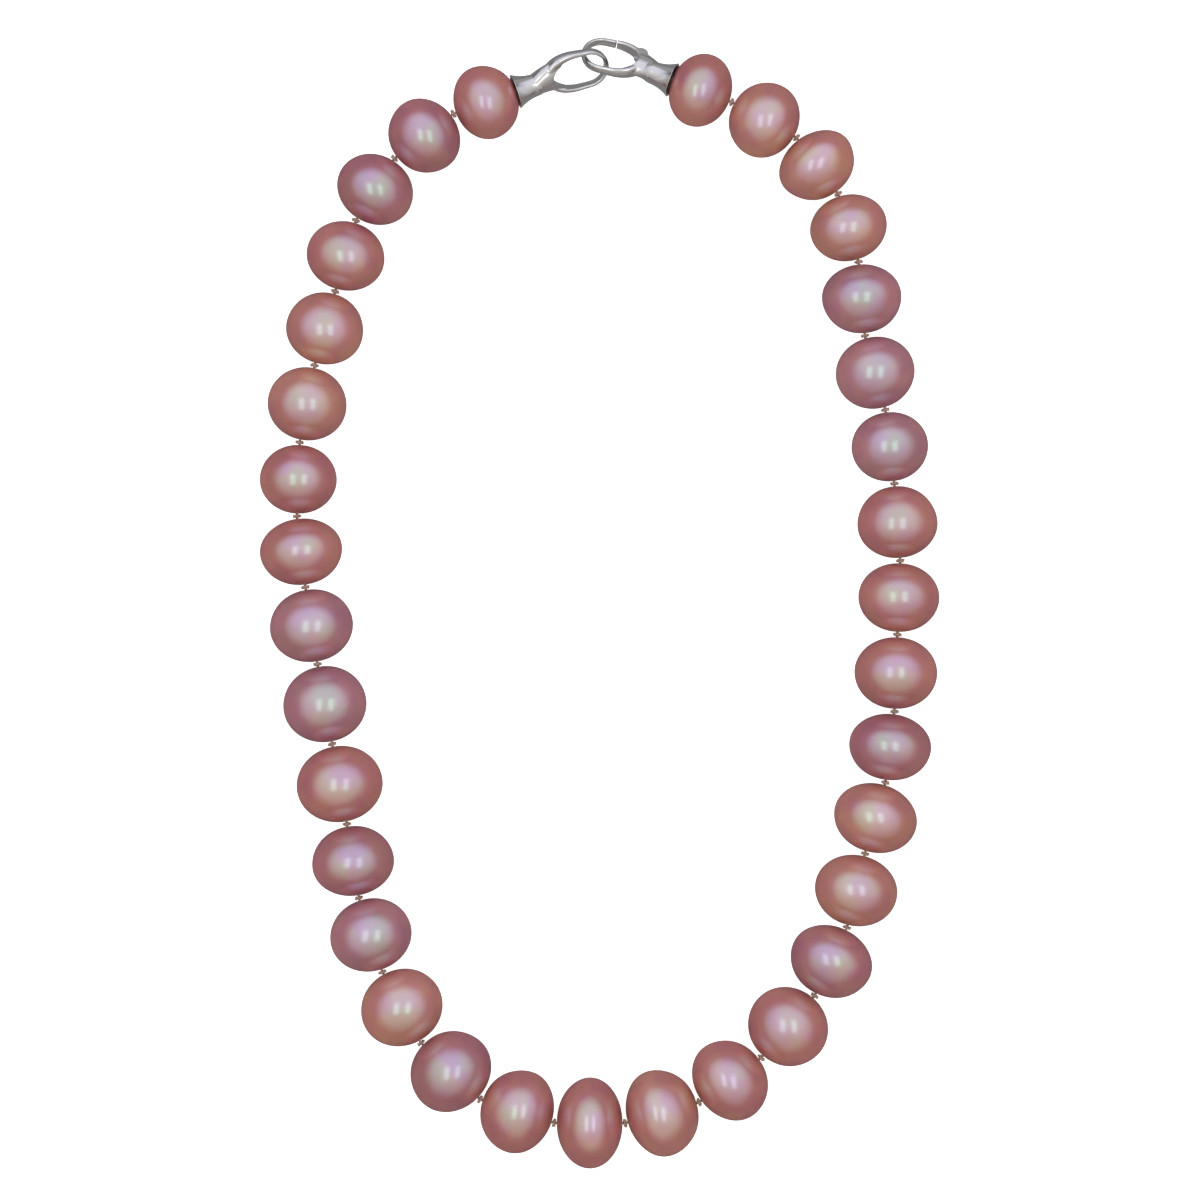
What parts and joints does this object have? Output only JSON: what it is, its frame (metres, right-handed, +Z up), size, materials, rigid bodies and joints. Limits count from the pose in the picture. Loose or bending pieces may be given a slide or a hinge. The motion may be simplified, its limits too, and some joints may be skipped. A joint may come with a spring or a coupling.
{
  "type": "pearl necklace",
  "caption": "Knotted strand necklace of large graduated off-round pearls on silk, closed by interlocking polished silver rings, one with a hinged gate.",
  "frame": {"origin": "centre of the closed strand as it lies flat, on the surface it lies on", "axes": "+Z up from the table, +Y from the largest pearl at the front towards the clasp, +X towards the hook half of the clasp"},
  "size_m": [0.1148, 0.1916, 0.0154],
  "materials": {
    "pearl_rose": "gloss",
    "pearl_mauve": "gloss",
    "pearl_peach": "gloss",
    "pearl_lavender": "gloss",
    "silk": "matte",
    "silver": "polished",
    "spring_steel": "satin"
  },
  "bodies": {
    "pearl_01": {"pearl_01": "pearl_rose"},
    "pearl_02": {"pearl_02": "pearl_mauve"},
    "pearl_03": {"pearl_03": "pearl_mauve"},
    "pearl_04": {"pearl_04": "pearl_rose"},
    "pearl_05": {"pearl_05": "pearl_peach"},
    "pearl_06": {"pearl_06": "pearl_peach"},
    "pearl_07": {"pearl_07": "pearl_rose"},
    "pearl_08": {"pearl_08": "pearl_rose"},
    "pearl_09": {"pearl_09": "pearl_lavender"},
    "pearl_10": {"pearl_10": "pearl_lavender"},
    "pearl_11": {"pearl_11": "pearl_rose"},
    "pearl_12": {"pearl_12": "pearl_mauve"},
    "pearl_13": {"pearl_13": "pearl_lavender"},
    "pearl_14": {"pearl_14": "pearl_peach"},
    "pearl_15": {"pearl_15": "pearl_mauve"},
    "pearl_16": {"pearl_16": "pearl_rose"},
    "pearl_17": {"pearl_17": "pearl_rose", "silk_thread": "silk"},
    "pearl_18": {"pearl_18": "pearl_peach"},
    "pearl_19": {"pearl_19": "pearl_rose"},
    "pearl_20": {"pearl_20": "pearl_rose"},
    "pearl_21": {"pearl_21": "pearl_mauve"},
    "pearl_22": {"pearl_22": "pearl_peach"},
    "pearl_23": {"pearl_23": "pearl_peach"},
    "pearl_24": {"pearl_24": "pearl_mauve"},
    "pearl_25": {"pearl_25": "pearl_rose"},
    "pearl_26": {"pearl_26": "pearl_rose"},
    "pearl_27": {"pearl_27": "pearl_rose"},
    "pearl_28": {"pearl_28": "pearl_lavender"},
    "pearl_29": {"pearl_29": "pearl_lavender"},
    "pearl_30": {"pearl_30": "pearl_lavender"},
    "pearl_31": {"pearl_31": "pearl_peach"},
    "pearl_32": {"pearl_32": "pearl_peach"},
    "pearl_33": {"pearl_33": "pearl_peach"},
    "pearl_34": {"pearl_34": "pearl_rose"},
    "loop_half": {"clasp_loop": "silver", "loop_anchor_bar": "silver"},
    "hook_half": {"clasp_hook": "silver", "hook_anchor_bar": "silver", "gate_pin": "spring_steel", "gate_spring": "spring_steel"},
    "gate": {"clasp_gate": "silver"}
  },
  "joints": [
    {"name": "knot_16_drape", "type": "hinge", "parent": "pearl_17", "child": "pearl_16", "pos_m": [-0.00767, -0.08812, 0.00762], "axis": [1, 0, 0], "range_deg": [0, 0.69]},
    {"name": "knot_15_flex", "type": "hinge", "parent": "pearl_16", "child": "pearl_15", "pos_m": [-0.02017, -0.08412, 0.00735], "axis": [0, 0, 1], "range_deg": [-1.74, 2.96]},
    {"name": "knot_14_drape", "type": "hinge", "parent": "pearl_15", "child": "pearl_14", "pos_m": [-0.03017, -0.07462, 0.00732], "axis": [1, 0, 0], "range_deg": [0, 3.76]},
    {"name": "knot_13_flex", "type": "hinge", "parent": "pearl_14", "child": "pearl_13", "pos_m": [-0.03667, -0.06262, 0.00722], "axis": [0, 0, 1], "range_deg": [-1.39, 2.36]},
    {"name": "knot_12_drape", "type": "hinge", "parent": "pearl_13", "child": "pearl_12", "pos_m": [-0.04067, -0.05012, 0.00717], "axis": [1, 0, 0], "range_deg": [0, 4.34]},
    {"name": "knot_11_flex", "type": "hinge", "parent": "pearl_12", "child": "pearl_11", "pos_m": [-0.04267, -0.03762, 0.00735], "axis": [0, 0, 1], "range_deg": [-0.08, 0.05]},
    {"name": "strand_drape", "type": "hinge", "parent": "pearl_11", "child": "pearl_10", "pos_m": [-0.04517, -0.02412, 0.0074], "axis": [1, 0, 0], "range_deg": [0, 4.68], "deforming": ["silk_thread"]},
    {"name": "knot_09_flex", "type": "hinge", "parent": "pearl_10", "child": "pearl_09", "pos_m": [-0.04767, -0.01062, 0.00728], "axis": [0, 0, 1], "range_deg": [-3.98, 2.33]},
    {"name": "knot_08_drape", "type": "hinge", "parent": "pearl_09", "child": "pearl_08", "pos_m": [-0.04967, 0.00238, 0.00722], "axis": [1, 0, 0], "range_deg": [0, 4.34]},
    {"name": "strand_flex", "type": "hinge", "parent": "pearl_08", "child": "pearl_07", "pos_m": [-0.05117, 0.01438, 0.00695], "axis": [0, 0, 1], "range_deg": [-6.24, 3.64], "deforming": ["silk_thread"]},
    {"name": "knot_06_drape", "type": "hinge", "parent": "pearl_07", "child": "pearl_06", "pos_m": [-0.05067, 0.02688, 0.00683], "axis": [1, 0, 0], "range_deg": [0, 4.43]},
    {"name": "knot_05_flex", "type": "hinge", "parent": "pearl_06", "child": "pearl_05", "pos_m": [-0.04817, 0.03988, 0.00685], "axis": [0, 0, 1], "range_deg": [-4.46, 2.61]},
    {"name": "knot_04_drape", "type": "hinge", "parent": "pearl_05", "child": "pearl_04", "pos_m": [-0.04467, 0.05238, 0.00683], "axis": [1, 0, 0], "range_deg": [0, 4.25]},
    {"name": "knot_03_flex", "type": "hinge", "parent": "pearl_04", "child": "pearl_03", "pos_m": [-0.04117, 0.06438, 0.00688], "axis": [0, 0, 1], "range_deg": [-0.75, 1.28]},
    {"name": "knot_02_drape", "type": "hinge", "parent": "pearl_03", "child": "pearl_02", "pos_m": [-0.03467, 0.07488, 0.0068], "axis": [1, 0, 0], "range_deg": [0, 3.13]},
    {"name": "knot_01_flex", "type": "hinge", "parent": "pearl_02", "child": "pearl_01", "pos_m": [-0.02467, 0.08238, 0.00707], "axis": [0, 0, 1], "range_deg": [-4.43, 7.58]},
    {"name": "knot_00_drape", "type": "hinge", "parent": "pearl_01", "child": "loop_half", "pos_m": [-0.01367, 0.08638, 0.00622], "axis": [1, 0, 0], "range_deg": [0, 0.69]},
    {"name": "knot_17_flex", "type": "hinge", "parent": "pearl_17", "child": "pearl_18", "pos_m": [0.00433, -0.08812, 0.00777], "axis": [0, 0, 1], "range_deg": [-2.84, 1.66]},
    {"name": "knot_18_drape", "type": "hinge", "parent": "pearl_18", "child": "pearl_19", "pos_m": [0.01683, -0.08462, 0.00747], "axis": [1, 0, 0], "range_deg": [0, 2]},
    {"name": "knot_19_flex", "type": "hinge", "parent": "pearl_19", "child": "pearl_20", "pos_m": [0.02733, -0.07712, 0.00725], "axis": [0, 0, 1], "range_deg": [-2.78, 1.63]},
    {"name": "knot_20_drape", "type": "hinge", "parent": "pearl_20", "child": "pearl_21", "pos_m": [0.03633, -0.06662, 0.00722], "axis": [1, 0, 0], "range_deg": [0, 3.89]},
    {"name": "knot_21_flex", "type": "hinge", "parent": "pearl_21", "child": "pearl_22", "pos_m": [0.04183, -0.05512, 0.00725], "axis": [0, 0, 1], "range_deg": [-1.82, 1.07]},
    {"name": "knot_22_drape", "type": "hinge", "parent": "pearl_22", "child": "pearl_23", "pos_m": [0.04483, -0.04262, 0.00728], "axis": [1, 0, 0], "range_deg": [0, 4.25]},
    {"name": "knot_23_flex", "type": "hinge", "parent": "pearl_23", "child": "pearl_24", "pos_m": [0.04833, -0.03062, 0.00725], "axis": [0, 0, 1], "range_deg": [-0.54, 0.92]},
    {"name": "knot_24_drape", "type": "hinge", "parent": "pearl_24", "child": "pearl_25", "pos_m": [0.04983, -0.01862, 0.0072], "axis": [1, 0, 0], "range_deg": [0, 4.3]},
    {"name": "knot_25_flex", "type": "hinge", "parent": "pearl_25", "child": "pearl_26", "pos_m": [0.05033, -0.00562, 0.00715], "axis": [0, 0, 1], "range_deg": [-2.57, 4.4]},
    {"name": "knot_26_drape", "type": "hinge", "parent": "pearl_26", "child": "pearl_27", "pos_m": [0.05083, 0.00688, 0.00702], "axis": [1, 0, 0], "range_deg": [0, 4.34]},
    {"name": "knot_27_flex", "type": "hinge", "parent": "pearl_27", "child": "pearl_28", "pos_m": [0.04983, 0.01988, 0.00685], "axis": [0, 0, 1], "range_deg": [-3.66, 6.26]},
    {"name": "knot_28_drape", "type": "hinge", "parent": "pearl_28", "child": "pearl_29", "pos_m": [0.04833, 0.03238, 0.00683], "axis": [1, 0, 0], "range_deg": [0, 4.25]},
    {"name": "knot_29_flex", "type": "hinge", "parent": "pearl_29", "child": "pearl_30", "pos_m": [0.04483, 0.04488, 0.00692], "axis": [0, 0, 1], "range_deg": [-2.29, 3.92]},
    {"name": "knot_30_drape", "type": "hinge", "parent": "pearl_30", "child": "pearl_31", "pos_m": [0.04383, 0.05738, 0.00685], "axis": [1, 0, 0], "range_deg": [0, 4.16]},
    {"name": "knot_31_flex", "type": "hinge", "parent": "pearl_31", "child": "pearl_32", "pos_m": [0.04033, 0.06888, 0.00685], "axis": [0, 0, 1], "range_deg": [-1.88, 1.11]},
    {"name": "knot_32_drape", "type": "hinge", "parent": "pearl_32", "child": "pearl_33", "pos_m": [0.03333, 0.07838, 0.00683], "axis": [1, 0, 0], "range_deg": [0, 2.72]},
    {"name": "knot_33_flex", "type": "hinge", "parent": "pearl_33", "child": "pearl_34", "pos_m": [0.02233, 0.08438, 0.00707], "axis": [0, 0, 1], "range_deg": [-7.88, 4.6]},
    {"name": "knot_34_drape", "type": "hinge", "parent": "pearl_34", "child": "hook_half", "pos_m": [0.01183, 0.08838, 0.00602], "axis": [1, 0, 0], "range_deg": [0, 0.74]},
    {"name": "gate_hinge", "type": "hinge", "parent": "hook_half", "child": "gate", "pos_m": [0.0069, 0.09202, 0.00379], "axis": [0.0926, 0.6091, 0.7877], "range_deg": [0, 24], "stiffness_Nm_per_rad": 0.002, "springref_deg": -22.92, "deforming": ["gate_spring"]}
  ],
  "couplings": [
    {"joint": "knot_16_drape", "follows": "strand_drape", "ratio": 0.1442},
    {"joint": "knot_15_flex", "follows": "strand_flex", "ratio": -0.4712},
    {"joint": "knot_14_drape", "follows": "strand_drape", "ratio": 0.7981},
    {"joint": "knot_13_flex", "follows": "strand_flex", "ratio": -0.375},
    {"joint": "knot_12_drape", "follows": "strand_drape", "ratio": 0.9231},
    {"joint": "knot_11_flex", "follows": "strand_flex", "ratio": 0.0096},
    {"joint": "knot_09_flex", "follows": "strand_flex", "ratio": 0.6346},
    {"joint": "knot_08_drape", "follows": "strand_drape", "ratio": 0.9231},
    {"joint": "knot_06_drape", "follows": "strand_drape", "ratio": 0.9423},
    {"joint": "knot_05_flex", "follows": "strand_flex", "ratio": 0.7115},
    {"joint": "knot_04_drape", "follows": "strand_drape", "ratio": 0.9038},
    {"joint": "knot_03_flex", "follows": "strand_flex", "ratio": -0.2019},
    {"joint": "knot_02_drape", "follows": "strand_drape", "ratio": 0.6635},
    {"joint": "knot_01_flex", "follows": "strand_flex", "ratio": -1.2115},
    {"joint": "knot_00_drape", "follows": "strand_drape", "ratio": 0.1442},
    {"joint": "knot_17_flex", "follows": "strand_flex", "ratio": 0.4519},
    {"joint": "knot_18_drape", "follows": "strand_drape", "ratio": 0.4231},
    {"joint": "knot_19_flex", "follows": "strand_flex", "ratio": 0.4423},
    {"joint": "knot_20_drape", "follows": "strand_drape", "ratio": 0.8269},
    {"joint": "knot_21_flex", "follows": "strand_flex", "ratio": 0.2885},
    {"joint": "knot_22_drape", "follows": "strand_drape", "ratio": 0.9038},
    {"joint": "knot_23_flex", "follows": "strand_flex", "ratio": -0.1442},
    {"joint": "knot_24_drape", "follows": "strand_drape", "ratio": 0.9135},
    {"joint": "knot_25_flex", "follows": "strand_flex", "ratio": -0.7019},
    {"joint": "knot_26_drape", "follows": "strand_drape", "ratio": 0.9231},
    {"joint": "knot_27_flex", "follows": "strand_flex", "ratio": -1},
    {"joint": "knot_28_drape", "follows": "strand_drape", "ratio": 0.9038},
    {"joint": "knot_29_flex", "follows": "strand_flex", "ratio": -0.625},
    {"joint": "knot_30_drape", "follows": "strand_drape", "ratio": 0.8846},
    {"joint": "knot_31_flex", "follows": "strand_flex", "ratio": 0.2981},
    {"joint": "knot_32_drape", "follows": "strand_drape", "ratio": 0.5769},
    {"joint": "knot_33_flex", "follows": "strand_flex", "ratio": 1.2596},
    {"joint": "knot_34_drape", "follows": "strand_drape", "ratio": 0.1538}
  ]
}
